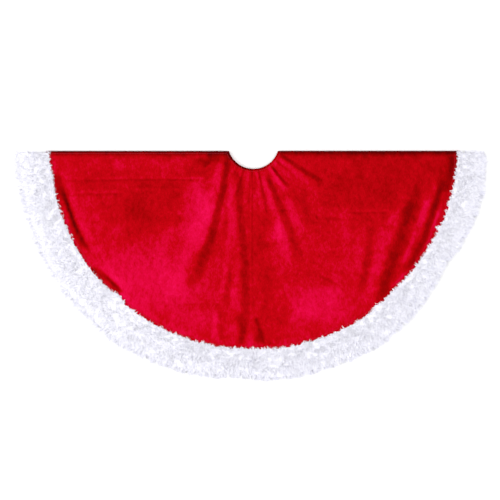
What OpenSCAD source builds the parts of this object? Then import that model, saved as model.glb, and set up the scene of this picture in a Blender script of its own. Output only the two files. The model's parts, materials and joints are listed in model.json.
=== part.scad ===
// Christmas tree skirt: a lined plush circle with a trunk hole, a slit and a faux-fur border,
// folded in half and laid flat. The upper half hinges about the fold line and opens to a full circle.
// X runs along the fold line, the skirt lies on the -Y side of it, and Z is up from the floor.
// The origin is the middle of the trunk hole on the fold line, at floor level.

/* [Skirt] */
// Diameter across the opened skirt, fur included
skirt_d = 1220; // [1000:10:1300]
// Distance from the centre of the outer arc to the fold line
fold_offset = 15; // [0:1:25]
// Radius of the trunk hole
hole_r = 67; // [55:1:85]
// Distance from the centre of the hole to the fold line
hole_offset = 21; // [0:1:30]

/* [Cloth] */
// Thickness of the plush cover, pile included
cover_t = 2; // [1:0.1:3]
// Thickness of the lining
lining_t = 0.8; // [0.6:0.1:1]
// Gap kept between the two halves, and at the fold
half_gap = 0.3; // [0.2:0.1:0.6]

/* [Fur trim] */
// Width of the fur trim
trim_w = 86; // [60:1:110]
// Thickness of the fur trim, pile pressed down
trim_h = 6; // [6:0.5:14]
// Width of the trim that lies over the edge of the cover
trim_lap = 12; // [6:1:20]
// Rounding of the pile at the trim's outer edge
outer_round = 4; // [2:0.5:5]

/* [Closure] */
// Length of a hook-and-loop tab, along the slit
tab_l = 50; // [40:1:60]
// Width of a hook-and-loop tab
tab_w = 20; // [12:1:25]
// Thickness of a hook-and-loop tab
tab_t = 1.2; // [1:0.1:1.4]
// Distance from the slit's edge to a tab
tab_inset = 10; // [8:1:15]

/* [Sewing] */
// Distance from an edge to its row of stitches
stitch_inset = 6; // [4:0.5:8]
// Width of a row of stitches
thread_w = 0.8; // [0.5:0.1:1.2]
// Height of a row of stitches above the cloth
thread_h = 0.4; // [0.2:0.1:0.5]

/* [Care label] */
// Length of the blank label, away from the hem
label_l = 50; // [30:1:70]
// Width of the blank label
label_w = 30; // [20:1:40]
// Thickness of the label
label_t = 0.3; // [0.2:0.1:0.5]

/* [Hidden] */
$fn = 128;

plush_red = [0.78, 0.01, 0.13];
lining_red = [0.55, 0.02, 0.08];
thread_red = [0.6, 0.01, 0.1];
tab_red = [0.62, 0.05, 0.1];
fur_white = [0.97, 0.97, 0.98];
label_white = [0.93, 0.93, 0.92];

// Heights below are measured away from the fold plane, so that both halves use the same ones.
edge_gap = half_gap / 2;
lining_top = edge_gap + lining_t;
cover_top = lining_top + cover_t;
trim_top = edge_gap + trim_h;
fold_z = trim_top;
// The pile rounds off towards the plush over most of the height by which it stands above it.
inner_round = 0.8 * (trim_top - cover_top);

trim_r = skirt_d / 2;
trim_in_r = trim_r - trim_w;
cover_r = trim_in_r + trim_lap;
trim_stitch_r = trim_in_r - 4;
neck_stitch_r = hole_r + stitch_inset;

// Distance along X at which a circle of radius r, whose centre lies `offset` beyond the fold
// line, passes the depth `y` below the line.
function reach(r, offset, y) = sqrt(r * r - (offset + y) * (offset + y));

tab_y = -tab_inset - tab_w / 2;
tab_neck_x = -reach(neck_stitch_r, hole_offset, tab_inset) - tab_l / 2 - 5;
tab_hem_x = -reach(trim_stitch_r, fold_offset, tab_inset + tab_w) + tab_l / 2 + 5;
tab_middle_x = (tab_neck_x + tab_hem_x) / 2;
label_x = -reach(trim_stitch_r, fold_offset, 100) + label_l / 2 + 2;
label_y = -80;

// Puts a half-skirt piece, drawn upwards from the fold plane, in the upper or the lower half.
module front_half() {
    translate([0, 0, fold_z]) children();
}

module back_half() {
    translate([0, 0, fold_z]) mirror([0, 0, 1]) children();
}

// A ring on the skirt's side of the fold line, about a centre that lies beyond the line.
module half_ring(r_in, offset_in, r_out, offset_out) {
    difference() {
        translate([0, offset_out]) circle(r = r_out);
        translate([0, offset_in]) circle(r = r_in);
        translate([-skirt_d, -edge_gap]) square([2 * skirt_d, 2 * skirt_d]);
    }
}

module half_layer(low, high) {
    translate([0, 0, low])
        linear_extrude(high - low) half_ring(hole_r, hole_offset, cover_r, fold_offset);
}

module stitch_ring(r, offset) {
    translate([0, 0, cover_top])
        linear_extrude(thread_h) half_ring(r, offset, r + thread_w, offset);
}

module slit_stitch_row() {
    start_x = -reach(trim_stitch_r, fold_offset, stitch_inset) + 2;
    end_x = -reach(neck_stitch_r + thread_w, hole_offset, stitch_inset) - 2;
    translate([start_x, -stitch_inset - thread_w / 2, cover_top])
        cube([end_x - start_x, thread_w, thread_h]);
}

module tab(x, low) {
    translate([x - tab_l / 2, tab_y - tab_w / 2, low]) cube([tab_l, tab_w, tab_t]);
}

// Rows of stitches round the three tabs, one closed rectangle each.
module tab_stitch_rows(low) {
    inset = 2;
    for (x = [tab_neck_x, tab_middle_x, tab_hem_x])
        translate([x, tab_y, low])
            linear_extrude(thread_h)
                difference() {
                    square([tab_l - 2 * inset, tab_w - 2 * inset], center = true);
                    square(
                        [tab_l - 2 * inset - 2 * thread_w, tab_w - 2 * inset - 2 * thread_w],
                        center = true
                    );
                }
}

module hook_tabs_block() {
    for (x = [tab_neck_x, tab_middle_x, tab_hem_x])
        tab(x, edge_gap);
}

module label_block() {
    translate([label_x - label_l / 2, label_y - label_w / 2, edge_gap])
        cube([label_l, label_w, label_t]);
}

function arc_points(x, y, r, from, to, steps = 8) =
    [for (i = [0:steps]) [
        x + r * cos(from + (to - from) * i / steps),
        y + r * sin(from + (to - from) * i / steps)
    ]];

// Section of the fur trim: a lap over the cover's edge, and a full-depth band beyond it.
module trim_section() {
    polygon(concat(
        [[cover_r, edge_gap], [cover_r, cover_top], [trim_in_r, cover_top]],
        arc_points(trim_in_r + inner_round, trim_top - inner_round, inner_round, 180, 90),
        arc_points(trim_r - outer_round, trim_top - outer_round, outer_round, 90, 0),
        [[trim_r, edge_gap + 1], [trim_r - 1, edge_gap]]
    ));
}

// One length of trim: side is -1 for the slit's side and 1 for the fold's side.
module half_trim(side) {
    intersection() {
        translate([0, fold_offset, 0]) rotate_extrude() trim_section();
        translate([side < 0 ? -skirt_d : 0, -skirt_d - edge_gap, 0])
            cube([skirt_d, skirt_d, 2 * trim_h]);
    }
}

module back_cover() {
    color(plush_red) back_half() half_layer(lining_top, cover_top);
}

module back_lining() {
    color(lining_red) back_half()
        difference() {
            half_layer(edge_gap, lining_top);
            label_block();
        }
}

module back_trim_left() {
    color(fur_white) back_half() half_trim(-1);
}

module back_trim_right() {
    color(fur_white) back_half() half_trim(1);
}

module back_trim_stitching() {
    color(thread_red) back_half() stitch_ring(trim_stitch_r, fold_offset);
}

module back_neck_stitching() {
    color(thread_red) back_half() stitch_ring(neck_stitch_r, hole_offset);
}

module back_slit_stitching() {
    color(thread_red) back_half() slit_stitch_row();
}

module loop_tab_neck() {
    color(tab_red) back_half() tab(tab_neck_x, cover_top);
}

module loop_tab_middle() {
    color(tab_red) back_half() tab(tab_middle_x, cover_top);
}

module loop_tab_hem() {
    color(tab_red) back_half() tab(tab_hem_x, cover_top);
}

module loop_tab_stitching() {
    color(thread_red) back_half() tab_stitch_rows(cover_top + tab_t);
}

module care_label() {
    color(label_white) back_half() label_block();
}

module front_cover() {
    color(plush_red) front_half()
        difference() {
            half_layer(lining_top, cover_top);
            hook_tabs_block();
        }
}

module front_lining() {
    color(lining_red) front_half()
        difference() {
            half_layer(edge_gap, lining_top);
            hook_tabs_block();
        }
}

module front_trim_left() {
    color(fur_white) front_half() half_trim(-1);
}

module front_trim_right() {
    color(fur_white) front_half() half_trim(1);
}

module front_trim_stitching() {
    color(thread_red) front_half() stitch_ring(trim_stitch_r, fold_offset);
}

module front_neck_stitching() {
    color(thread_red) front_half() stitch_ring(neck_stitch_r, hole_offset);
}

module front_slit_stitching() {
    color(thread_red) front_half() slit_stitch_row();
}

module hook_tab_neck() {
    color(tab_red) front_half() tab(tab_neck_x, edge_gap);
}

module hook_tab_middle() {
    color(tab_red) front_half() tab(tab_middle_x, edge_gap);
}

module hook_tab_hem() {
    color(tab_red) front_half() tab(tab_hem_x, edge_gap);
}

module hook_tab_stitching() {
    color(thread_red) front_half() tab_stitch_rows(cover_top);
}

back_cover();
back_lining();
back_trim_left();
back_trim_right();
back_trim_stitching();
back_neck_stitching();
back_slit_stitching();
loop_tab_neck();
loop_tab_middle();
loop_tab_hem();
loop_tab_stitching();
care_label();
front_cover();
front_lining();
front_trim_left();
front_trim_right();
front_trim_stitching();
front_neck_stitching();
front_slit_stitching();
hook_tab_neck();
hook_tab_middle();
hook_tab_hem();
hook_tab_stitching();
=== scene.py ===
import json
import math

import bpy
import numpy as np
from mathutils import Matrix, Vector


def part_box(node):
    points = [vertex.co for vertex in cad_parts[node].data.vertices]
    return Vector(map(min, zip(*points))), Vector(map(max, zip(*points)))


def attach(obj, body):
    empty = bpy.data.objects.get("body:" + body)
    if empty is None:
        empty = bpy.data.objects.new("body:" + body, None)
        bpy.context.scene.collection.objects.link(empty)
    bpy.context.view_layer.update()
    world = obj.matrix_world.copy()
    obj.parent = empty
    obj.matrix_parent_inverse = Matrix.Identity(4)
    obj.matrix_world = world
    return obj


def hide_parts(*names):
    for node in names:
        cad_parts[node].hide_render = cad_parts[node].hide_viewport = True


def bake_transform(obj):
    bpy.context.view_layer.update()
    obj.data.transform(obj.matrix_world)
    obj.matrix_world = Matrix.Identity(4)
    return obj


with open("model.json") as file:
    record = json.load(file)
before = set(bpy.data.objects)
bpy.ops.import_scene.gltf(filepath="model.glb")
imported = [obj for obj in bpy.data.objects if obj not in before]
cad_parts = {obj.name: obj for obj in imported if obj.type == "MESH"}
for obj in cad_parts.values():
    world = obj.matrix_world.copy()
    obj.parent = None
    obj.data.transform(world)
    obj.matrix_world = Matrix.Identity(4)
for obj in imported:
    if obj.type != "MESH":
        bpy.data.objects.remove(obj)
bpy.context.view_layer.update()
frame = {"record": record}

MM = 0.001

# ---------------------------------------------------------------------------------------------
# Sizes, worked out from the frame. Depths and heights called d are measured from the fold plane.


def arc_radius(half_width, depth):
    """Radius of the arc that spans the fold line by half_width each way and reaches depth below it."""
    return (half_width ** 2 + depth ** 2) / (2 * depth)


def arc_of(*nodes):
    """Radius of the nodes' outer arc, and how far its centre lies beyond the fold line."""
    low = np.min([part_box(n)[0] for n in nodes], axis=0)
    high = np.max([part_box(n)[1] for n in nodes], axis=0)
    radius = arc_radius(high[0], -low[1])
    return radius, radius + low[1]


FOLD_Z = frame["record"]["behaviour"]["joints"][0]["pos_m"][2]
LAP = 12 * MM  # how far the fur trim lies over the cover's edge
NECK_ROW = 6.8 * MM  # from the hole's edge to the far side of its row of stitches

COVER_R, COVER_C = arc_of("front_cover")
TRIM_R, TRIM_C = arc_of("front_trim_left", "front_trim_right")
NECK_R, HOLE_C = arc_of("front_neck_stitching")
HOLE_R = NECK_R - NECK_ROW
TRIM_IN = COVER_R - LAP
FUR_SHIFT = -8.8 * MM  # the pile is combed out wider on the slit's side


# ---------------------------------------------------------------------------------------------
# Small tools


def smooth(x, low, high):
    """0 below low, 1 above high, and smooth between."""
    t = np.clip((x - low) / (high - low), 0, 1)
    return t * t * (3 - 2 * t)


def value_noise(x, y, size, seed):
    """Smooth noise from -1 to 1, whose bumps are about size across."""
    table = np.random.default_rng(seed).uniform(-1, 1, (256, 256))
    gx, gy = x / size + 100.37, y / size + 100.71
    ix, iy = np.floor(gx).astype(int), np.floor(gy).astype(int)
    fx, fy = gx - ix, gy - iy
    fx = fx * fx * fx * (fx * (fx * 6 - 15) + 10)
    fy = fy * fy * fy * (fy * (fy * 6 - 15) + 10)
    a, b = table[ix % 256, iy % 256], table[(ix + 1) % 256, iy % 256]
    c, d = table[ix % 256, (iy + 1) % 256], table[(ix + 1) % 256, (iy + 1) % 256]
    return (a * (1 - fx) + b * fx) * (1 - fy) + (c * (1 - fx) + d * fx) * fy


def crumple(x, y, size, seed):
    """Two turned layers of noise, so that no grid shows."""
    u, v = 0.8 * x - 0.6 * y, 0.6 * x + 0.8 * y
    return 0.6 * value_noise(x, y, size, seed) + 0.4 * value_noise(u, v, 0.61 * size, seed + 1)


def make_mesh(name, points, faces, uv=None, smooth_faces=True, slots=None):
    """A mesh object from arrays: points (n, 3), faces (m, 3 or 4), uv for each point."""
    mesh = bpy.data.meshes.new(name)
    points, faces = np.asarray(points, float), np.asarray(faces, int)
    mesh.vertices.add(len(points))
    mesh.vertices.foreach_set("co", points.ravel())
    mesh.loops.add(faces.size)
    mesh.loops.foreach_set("vertex_index", faces.ravel())
    mesh.polygons.add(len(faces))
    mesh.polygons.foreach_set("loop_start", np.arange(len(faces)) * faces.shape[1])
    mesh.polygons.foreach_set("loop_total", np.full(len(faces), faces.shape[1]))
    if slots is not None:
        mesh.polygons.foreach_set("material_index", np.asarray(slots, int))
    mesh.polygons.foreach_set("use_smooth", np.full(len(faces), smooth_faces))
    if uv is not None:
        layer = mesh.uv_layers.new(name="cloth")
        layer.data.foreach_set("uv", np.asarray(uv, float)[faces.ravel()].ravel())
    mesh.update(calc_edges=True)
    mesh.validate()
    obj = bpy.data.objects.new(name, mesh)
    bpy.context.collection.objects.link(obj)
    return obj


def grid_faces(columns, rows, closed=False):
    """Quads between the points of a (columns, rows) grid. closed joins the last row to the first."""
    c = np.arange(columns - 1)[:, None]
    r = np.arange(rows if closed else rows - 1)[None, :]
    after = (r + 1) % rows
    quads = np.stack(np.broadcast_arrays(
        c * rows + r, (c + 1) * rows + r, (c + 1) * rows + after, c * rows + after), axis=-1)
    return quads.reshape(-1, 4)


def copies(faces, count, size):
    """The same faces for each of count shapes that have size points."""
    faces = np.array(faces)
    return (np.arange(count)[:, None, None] * size + faces[None]).reshape(-1, faces.shape[1])


# ---------------------------------------------------------------------------------------------
# Materials


def new_material(name, color, roughness=0.85, specular=0.1):
    material = bpy.data.materials.new(name)
    material.use_nodes = True
    shader = material.node_tree.nodes["Principled BSDF"]
    shader.inputs["Base Color"].default_value = (*color, 1)
    shader.inputs["Roughness"].default_value = roughness
    shader.inputs["Specular IOR Level"].default_value = specular
    return material, material.node_tree, shader


def cloth_coordinates(tree, scale=(1, 1, 1), turn=0.0):
    """The cloth's own flat coordinates, in metres, from the UV map that each cloth piece has."""
    uv = tree.nodes.new("ShaderNodeUVMap")
    uv.uv_map = "cloth"
    place = tree.nodes.new("ShaderNodeMapping")
    place.inputs["Scale"].default_value = scale
    place.inputs["Rotation"].default_value = (0, 0, turn)
    tree.links.new(uv.outputs["UV"], place.inputs["Vector"])
    return place.outputs["Vector"]


def noise_node(tree, vector, scale, detail=3.0, roughness=0.5, distortion=0.0):
    node = tree.nodes.new("ShaderNodeTexNoise")
    node.inputs["Scale"].default_value = scale
    node.inputs["Detail"].default_value = detail
    node.inputs["Roughness"].default_value = roughness
    node.inputs["Distortion"].default_value = distortion
    tree.links.new(vector, node.inputs["Vector"])
    return node.outputs["Fac"]


def math_node(tree, operation, a, b):
    node = tree.nodes.new("ShaderNodeMath")
    node.operation = operation
    for socket, value in zip(node.inputs, (a, b)):
        if isinstance(value, (int, float)):
            socket.default_value = value
        else:
            tree.links.new(value, socket)
    return node.outputs["Value"]


def ramp_node(tree, factor, stops):
    node = tree.nodes.new("ShaderNodeValToRGB")
    ramp = node.color_ramp
    while len(ramp.elements) < len(stops):
        ramp.elements.new(0.5)
    for element, (place, color) in zip(ramp.elements, stops):
        element.position = place
        element.color = (*color, 1)
    tree.links.new(factor, node.inputs["Fac"])
    return node.outputs["Color"]


def ramp_color(tree, shader, factor, stops):
    tree.links.new(ramp_node(tree, factor, stops), shader.inputs["Base Color"])


def bump_node(tree, shader, height, strength, distance):
    node = tree.nodes.new("ShaderNodeBump")
    node.inputs["Strength"].default_value = strength
    node.inputs["Distance"].default_value = distance
    tree.links.new(height, node.inputs["Height"])
    tree.links.new(node.outputs["Normal"], shader.inputs["Normal"])


def plush_material():
    """Crushed plush. Its colour mixes patches where the pile lies differently with painted light and shade:
    lighter on slopes and fold flanks that face the key light, darker on those turned away, in the fur's
    shadow and along the rolled edges.
    """
    material, tree, shader = new_material("red_plush", (0.44, 0.0003, 0.006), 0.9, 0.02)
    brush = tree.nodes.new("ShaderNodeAttribute")
    brush.attribute_name = "brush"
    broad = noise_node(tree, cloth_coordinates(tree, (1, 0.8, 1), 0.5), 30, 3, 0.55, 0.8)
    patches = noise_node(tree, cloth_coordinates(tree, (1, 0.7, 1), -0.4), 90, 3, 0.6, 0.6)
    grain = noise_node(tree, cloth_coordinates(tree, (1, 0.45, 1), 0.8), 330, 3, 0.7, 0.4)
    shade = brush.outputs["Fac"]
    for noise, amount in ((broad, 0.22), (patches, 0.30), (grain, 0.30)):
        part = math_node(tree, "MULTIPLY", math_node(tree, "SUBTRACT", noise, 0.5), amount)
        shade = math_node(tree, "ADD", shade, part)
    # the ramp's lighter stops are pinker, a painted sheen on the lighter shades
    ramp_color(tree, shader, shade, [
        (0.05, (0.08, 0.0, 0.0)), (0.32, (0.27, 0.0, 0.0006)), (0.50, (0.43, 0.0003, 0.004)),
        (0.62, (0.55, 0.001, 0.031)), (0.80, (0.68, 0.004, 0.078))])
    pile = noise_node(tree, cloth_coordinates(tree), 1500, 2, 0.6)
    height = math_node(tree, "ADD", math_node(tree, "MULTIPLY", patches, 2.2),
                       math_node(tree, "ADD", grain, math_node(tree, "MULTIPLY", pile, 0.35)))
    bump_node(tree, shader, height, 0.55, 1.3 * MM)
    shader.inputs["Sheen Weight"].default_value = 0.2
    shader.inputs["Sheen Roughness"].default_value = 0.4
    shader.inputs["Sheen Tint"].default_value = (1.0, 0.02, 0.06, 1)
    return material


def weave_material(name, dark, light, threads=900):
    """A plain weave: two crossing sets of threads, with slubs."""
    material, tree, shader = new_material(name, light, 0.6, 0.12)
    flat = cloth_coordinates(tree)
    heights = []
    for direction in ("X", "Y"):
        wave = tree.nodes.new("ShaderNodeTexWave")
        wave.bands_direction = direction
        wave.inputs["Scale"].default_value = threads / 3
        wave.inputs["Distortion"].default_value = 0.6
        wave.inputs["Detail"].default_value = 1
        tree.links.new(flat, wave.inputs["Vector"])
        heights.append(wave.outputs["Fac"])
    weave = math_node(tree, "MAXIMUM", *heights)
    slubs = noise_node(tree, cloth_coordinates(tree, (0.15, 1, 1)), 160, 3, 0.6)
    clouds = noise_node(tree, flat, 14, 4, 0.6, 0.5)
    shade = math_node(tree, "ADD", math_node(tree, "MULTIPLY", weave, 0.25),
                      math_node(tree, "MULTIPLY", slubs, 0.35))
    shade = math_node(tree, "ADD", shade, math_node(tree, "MULTIPLY", clouds, 0.40))
    ramp_color(tree, shader, shade, [(0.34, dark), (0.62, light)])
    bump_node(tree, shader, weave, 0.35, 0.25 * MM)
    return material


def hair_material():
    """Fur strands: u is a strand's own tone, v runs from its root to its tip, painted darker towards the
    root as shade deep in the fur.
    """
    material, tree, shader = new_material("fur_strands", (0.9, 0.9, 0.92), 0.75, 0.1)
    uv = tree.nodes.new("ShaderNodeUVMap")
    uv.uv_map = "OFBake"
    split = tree.nodes.new("ShaderNodeSeparateXYZ")
    tree.links.new(uv.outputs["UV"], split.inputs["Vector"])
    # painted shade: darker towards the root, where the strands shade each other
    along = ramp_node(tree, split.outputs["Y"], [
        (0.0, (0.74, 0.73, 0.82)), (0.35, (0.89, 0.885, 0.95)), (1.0, (0.93, 0.925, 0.975))])
    tone = ramp_node(tree, split.outputs["X"], [
        (0.0, (0.80, 0.80, 0.86)), (0.3, (0.95, 0.95, 0.97)), (1.0, (1.0, 1.0, 1.0))])
    mix = tree.nodes.new("ShaderNodeMix")
    mix.data_type = "RGBA"
    mix.blend_type = "MULTIPLY"
    mix.inputs["Factor"].default_value = 1.0
    tree.links.new(along, mix.inputs["A"])
    tree.links.new(tone, mix.inputs["B"])
    tree.links.new(mix.outputs["Result"], shader.inputs["Base Color"])
    shader.inputs["Sheen Weight"].default_value = 0.2
    return material


def fleece_material():
    """The short dense wool under the fur's long strands, greyer than them as painted shade between the
    strands.
    """
    material, tree, shader = new_material("fur_underwool", (0.8, 0.8, 0.84), 0.95, 0.05)
    tufts = noise_node(tree, cloth_coordinates(tree), 260, 4, 0.7, 0.4)
    # greyer than the strands: painted shade deep in the fur
    ramp_color(tree, shader, tufts, [(0.3, (0.76, 0.75, 0.83)), (0.6, (0.90, 0.89, 0.95))])
    bump_node(tree, shader, tufts, 0.8, 1.5 * MM)
    return material


PLUSH = plush_material()
LINING = weave_material("lining_weave", (0.22, 0.002, 0.007), (0.38, 0.004, 0.018))
BACKING = weave_material("fur_backing", (0.48, 0.48, 0.49), (0.70, 0.70, 0.71), 600)
RIBBON = weave_material("label_ribbon", (0.74, 0.73, 0.70), (0.90, 0.89, 0.87), 2400)
TAPE = weave_material("tape_weave", (0.12, 0.002, 0.008), (0.34, 0.01, 0.03), 1500)
HAIR = hair_material()
FLEECE = fleece_material()


def thread_material():
    material, tree, shader = new_material("thread", (0.42, 0.002, 0.02), 0.55, 0.3)
    ply = tree.nodes.new("ShaderNodeTexWave")
    ply.bands_direction = "DIAGONAL"
    ply.inputs["Scale"].default_value = 700
    tree.links.new(cloth_coordinates(tree), ply.inputs["Vector"])
    ramp_color(tree, shader, ply.outputs["Fac"], [(0.2, (0.28, 0.001, 0.01)), (0.8, (0.50, 0.004, 0.03))])
    return material


THREAD = thread_material()


def nylon_material():
    material, tree, shader = new_material("nylon_hooks", (0.40, 0.01, 0.03), 0.35, 0.5)
    spread = noise_node(tree, cloth_coordinates(tree), 900, 2)
    ramp_color(tree, shader, spread, [(0.3, (0.28, 0.004, 0.015)), (0.7, (0.48, 0.016, 0.045))])
    return material


NYLON = nylon_material()


# ---------------------------------------------------------------------------------------------
# Camera, floor and light

VIEW_WIDTH = 1.290  # how much of the floor the picture shows
VIEW_CENTRE = (-8.8 * MM, -0.2546)
LENS, SENSOR = 85, 36
FLOOR_SIDE, FLOOR_LINES = 60.0, 31
WORLD_STRENGTH = 0.92
LIGHTS_AIM = (0, -0.25, 0)
SOFTBOXES = [  # name, place, side and power
    ("key_softbox", (-7.2, -1.8, 4.5), 4.2, 440),
    ("fill_softbox", (6.2, -1.6, 4.6), 4.2, 170),
    ("top_softbox", (0.6, 0.2, 4.4), 2.6, 14),
]


def make_camera():
    data = bpy.data.cameras.new("camera")
    data.lens, data.sensor_width = LENS, SENSOR
    camera = bpy.data.objects.new("camera", data)
    bpy.context.collection.objects.link(camera)
    distance = VIEW_WIDTH / SENSOR * LENS
    camera.location = (*VIEW_CENTRE, distance + FOLD_Z)
    bpy.context.scene.camera = camera


def make_floor():
    line = np.linspace(-FLOOR_SIDE / 2, FLOOR_SIDE / 2, FLOOR_LINES)
    x, y = np.meshgrid(line, line, indexing="ij")
    points = np.stack([x, y, 0 * x], axis=-1).reshape(-1, 3)
    floor = make_mesh("floor", points, grid_faces(FLOOR_LINES, FLOOR_LINES), smooth_faces=False)
    floor.data.materials.append(new_material("pale_floor", (0.95, 0.95, 0.95), 0.9, 0.0)[0])


def make_lights():
    world = bpy.data.worlds.new("studio")
    bpy.context.scene.world = world
    world.use_nodes = True
    background = world.node_tree.nodes["Background"]
    background.inputs["Color"].default_value = (1, 1, 1, 1)
    background.inputs["Strength"].default_value = WORLD_STRENGTH
    for name, place, size, power in SOFTBOXES:
        data = bpy.data.lights.new(name, "AREA")
        data.shape, data.size, data.energy = "SQUARE", size, power
        light = bpy.data.objects.new(name, data)
        light.location = place
        aim = np.array(LIGHTS_AIM) - np.array(place)
        light.rotation_euler = (
            math.acos(-aim[2] / np.linalg.norm(aim)), 0, math.atan2(aim[1], aim[0]) - math.pi / 2)
        bpy.context.collection.objects.link(light)
    bpy.context.scene.view_settings.view_transform = "Standard"


make_camera()
make_floor()
make_lights()


# ---------------------------------------------------------------------------------------------
# The shape of the cloth

FOLD_HEIGHT = 2.7 * MM  # how far the cover stands off the fold plane at the fold
SLIT_HEIGHT = 1.9 * MM  # the same at the slit and at the hole
COVER_HEIGHT = 5.0 * MM  # and over most of the skirt
RIM_HEIGHT = 2.9 * MM  # and where the fur trim is sewn over it
PAINTED_LIGHT_SIDE = np.array([-0.46, -0.26, 0.0])  # slopes that turn this way, towards the key light, are painted lighter and those turned away painted darker: painted light and shade by slope
EDGE_ROLL = 15 * MM  # how far in from its edges the plush curves down
RIM_FADE = 20 * MM  # how far in from the fur the folds die away

# Soft folds of the upper cover. Each has a height, its widths at both ends on the side that faces
# the light, the same on the far side, and the points its crest runs through, from the top down or
# from left to right. All in millimetres, on the fold plane. Those with heights below 0 are dips.
FOLDS = [
    ("slit_side", 8.6, (14, 80), (18, 36),
     [(-66, -4), (-91, -100), (-116, -200), (-149, -290), (-200, -385)]),
    ("left_of_middle", 3.0, (14, 18), (16, 22), [(-50, -180), (-58, -270), (-74, -350), (-94, -404)]),
    ("middle", 4.8, (20, 34), (20, 32),
     [(-46, -46), (-44, -140), (-37, -240), (-32, -330), (-34, -400), (-48, -490)]),
    ("low_left", 2.2, (12, 16), (20, 24), [(-94, -398), (-92, -440), (-98, -496)]),
    ("hole_ray", 4.0, (12, 34), (14, 34), [(27, -54), (54, -125), (90, -235), (114, -310)]),
    ("corner_ray", 3.5, (12, 22), (12, 19), [(62, -12), (98, -38), (132, -66), (176, -94)]),
    ("corner_ray_low", 2.2, (8, 12), (8, 10), [(44, -42), (66, -68), (92, -98)]),
    ("right_of_hole", 4.0, (22, 26), (34, 46), [(92, -96), (110, -150), (138, -212)]),
    ("right_inner", 3.8, (30, 38), (22, 27), [(296, -170), (286, -245), (277, -310), (264, -378)]),
    ("right_middle", 9.4, (34, 30), (32, 34),
     [(428, -50), (388, -140), (364, -205), (344, -262), (328, -315), (296, -410)]),
    ("right_outer", 7.0, (15, 15), (21, 24),
     [(486, -44), (460, -130), (442, -190), (416, -250), (374, -334)]),
    ("rim_dip", -3.2, (12, 12), (24, 26), [(-504, -30), (-486, -110), (-460, -180), (-412, -278)]),
    ("rim_dip_low", -3.0, (11, 11), (20, 22), [(-416, -292), (-372, -324), (-326, -366)]),
    ("low_swell", 3.0, (60, 70), (60, 80), [(30, -330), (150, -380), (300, -360)]),
    ("left_swell", 3.4, (90, 90), (110, 110), [(-430, -60), (-380, -190), (-290, -330)]),
    ("left_hollow", -2.2, (60, 60), (60, 60), [(-270, -40), (-262, -150), (-240, -250)]),
    ("right_hollow", -2.2, (50, 50), (60, 60), [(230, -60), (220, -150), (190, -250)]),
    ("edge_swell", 1.2, (24, 24), (22, 22), [(-500, -26), (-300, -25), (-80, -26)]),
    ("edge_swell_right", 1.2, (24, 24), (22, 22), [(90, -26), (300, -25), (500, -26)]),
]

# Narrow lines that packing pressed into the cloth: height, half-width and the points of each.
CREASES = [
    ("middle_line", 0.5, 2.6, [(-4, -32), (-5, -438)]),
    ("slit_high_line", -1.7, 3.4, [(-492, -74), (-330, -71), (-128, -72)]),
    ("slit_low_line", -1.5, 3.4, [(-492, -109), (-330, -107)]),
    ("slit_mid_line", 0.8, 4.0, [(-330, -95), (-178, -97)]),
    ("hole_line", -1.2, 3.2, [(30, -150), (100, -149)]),
    ("cloud_line", -1.5, 6.0, [(160, -168), (240, -172)]),
    ("right_line", -1.4, 3.4, [(250, -157), (352, -155)]),
    ("low_line", -0.9, 3.4, [(-204, -394), (-140, -391), (-78, -392)]),
    ("bend_line", -1.2, 3.4, [(168, -270), (190, -257), (216, -257)]),
    ("tick_line", -1.1, 5.0, [(172, -318), (196, -330), (218, -342)]),
    ("small_line", 0.8, 3.2, [(140, -286), (172, -296)]),
    ("fan_line", 0.7, 3.6, [(330, -140), (384, -100)]),
    ("fan_line_low", 0.6, 3.6, [(338, -152), (396, -126)]),
]

# Short rays that fan out from the hole: angle from straight down, length, height.
RAYS = [(-34, 90, 1.2), (-20, 120, 1.5), (-6, 110, 1.0), (9, 125, 1.4), (36, 80, 1.1), (50, 70, 1.0)]

# The gather where the two lengths of trim meet: a swelling between two tucks.
GATHER = (2, -488)

# Patches of the plush, each lighter or darker: partly where the pile lies another way, partly painted light
# and shade, lighter low on the left and on fold flanks facing the key light, darker on flanks turned away.
# Shade, radii and centre of each patch.
PILE_AND_LIGHT_PATCHES = [
    ("upper_left", -0.09, (95, 85), (-262, -140)), ("slit_right", -0.10, (60, 34), (-140, -36)),
    ("slit_left", -0.04, (90, 40), (-400, -70)), ("lower_left", 0.12, (170, 105), (-270, -330)),
    ("left_flank", 0.13, (50, 110), (-142, -170)), ("corner_left", -0.18, (66, 18), (-112, -12)),
    ("middle", -0.09, (46, 130), (14, -270)),
    ("middle_low", -0.06, (46, 60), (60, -400)), ("right_high", -0.11, (190, 120), (310, -70)),
    ("right_corner", -0.10, (60, 60), (500, -30)), ("low_right", 0.12, (105, 66), (165, -390)),
    ("hole_right", 0.09, (34, 60), (84, -200)), ("rim_right", 0.05, (30, 40), (478, -180)),
    ("low_left", 0.06, (90, 40), (-150, -440)),
]

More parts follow.
